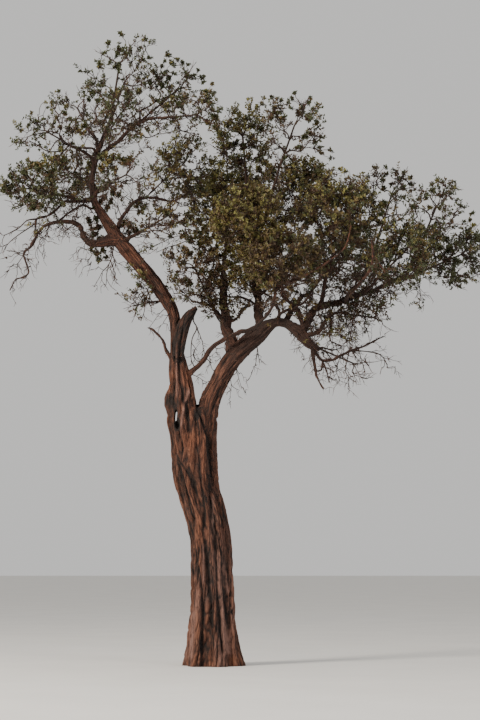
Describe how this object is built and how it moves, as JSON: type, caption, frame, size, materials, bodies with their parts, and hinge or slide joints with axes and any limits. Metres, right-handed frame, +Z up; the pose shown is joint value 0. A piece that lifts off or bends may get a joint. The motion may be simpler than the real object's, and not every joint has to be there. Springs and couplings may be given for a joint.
{
  "type": "desert date tree",
  "caption": "Old dry-country tree: a leaning, deeply furrowed trunk that forks into two winding great boughs under a broken, one-sided crown of separate leafy masses.",
  "frame": {"origin": "middle of the flat cut under the trunk, at ground level", "axes": "+Z up, +X to the right as the tree is seen from the front, +Y away from the viewer"},
  "size_m": [7.8342, 4.5094, 10.0003],
  "materials": {
    "bark": "rough, deeply furrowed bark",
    "foliage": "small matte leaves",
    "bare_twigs": "dry bark on bare twigs"
  },
  "bodies": {
    "root": {"trunk": "bark", "left_leader": "bark", "right_bough": "bark", "bare_right_bough": "bark", "cross_bough": "bark", "back_centre_bough": "bark", "low_centre_bough": "bark", "high_centre_bough": "bark", "front_centre_bough": "bark", "high_right_bough": "bark", "centre_right_bough": "bark", "back_right_bough": "bark", "right_high_bough": "bark", "front_right_bough": "bark", "right_low_back_bough": "bark", "right_hanging_bough": "bark", "right_front_bough": "bark", "far_right_bough": "bark", "right_tip_high_bough": "bark", "low_centre_left_bough": "bark", "centre_left_bough": "bark", "bare_left_bough": "bark", "far_left_bough": "bark", "left_low_bough": "bark", "left_mid_bough": "bark", "upper_right_bough": "bark", "inner_right_bough": "bark", "left_heart_bough": "bark", "left_high_bough": "bark", "back_left_bough": "bark", "leader_left_bough": "bark", "top_foliage": "foliage", "upper_right_foliage": "foliage", "left_high_foliage": "foliage", "back_left_foliage": "foliage", "left_heart_foliage": "foliage", "far_left_foliage": "foliage", "left_mid_foliage": "foliage", "left_low_foliage": "foliage", "inner_right_foliage": "foliage", "centre_left_foliage": "foliage", "low_centre_left_foliage": "foliage", "low_centre_foliage": "foliage", "back_centre_foliage": "foliage", "front_centre_foliage": "foliage", "high_centre_foliage": "foliage", "high_right_foliage": "foliage", "centre_right_foliage": "foliage", "front_low_foliage": "foliage", "front_right_foliage": "foliage", "back_right_foliage": "foliage", "right_high_foliage": "foliage", "right_tip_high_foliage": "foliage", "right_front_foliage": "foliage", "far_right_foliage": "foliage", "right_low_back_foliage": "foliage", "right_hanging_foliage": "foliage", "leader_left_foliage": "foliage", "bare_left_twigs": "bare_twigs", "bare_right_twigs": "bare_twigs"}
  },
  "joints": []
}
